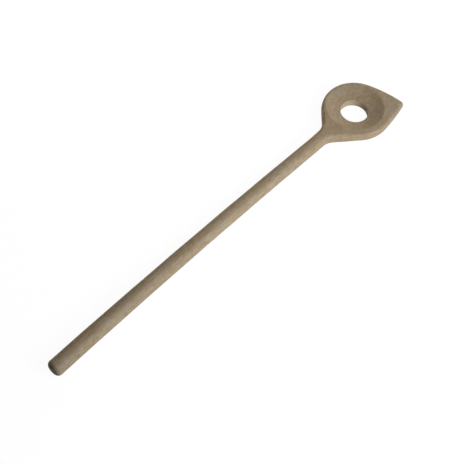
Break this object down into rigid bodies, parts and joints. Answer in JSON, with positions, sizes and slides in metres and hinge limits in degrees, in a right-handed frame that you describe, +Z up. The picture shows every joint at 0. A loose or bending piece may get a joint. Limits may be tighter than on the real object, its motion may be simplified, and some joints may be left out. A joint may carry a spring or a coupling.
{
  "type": "corner spoon",
  "caption": "Wooden corner spoon: a long round handle, a flat head with one corner for scraping the edge of a pan, a shallow bowl and a round hole through it.",
  "frame": {"origin": "middle of the hole at the back face of the head, which is the plane the spoon lies on", "axes": "+X along the handle from the butt towards the head, +Z up out of the bowl along the hole's axis, the corner on the -Y side"},
  "size_m": [0.35, 0.057, 0.0125],
  "materials": {
    "beech": "raw beech, sanded, unoiled, matte, a little greyed with age"
  },
  "bodies": {
    "root": {"spoon": "beech"}
  },
  "joints": []
}
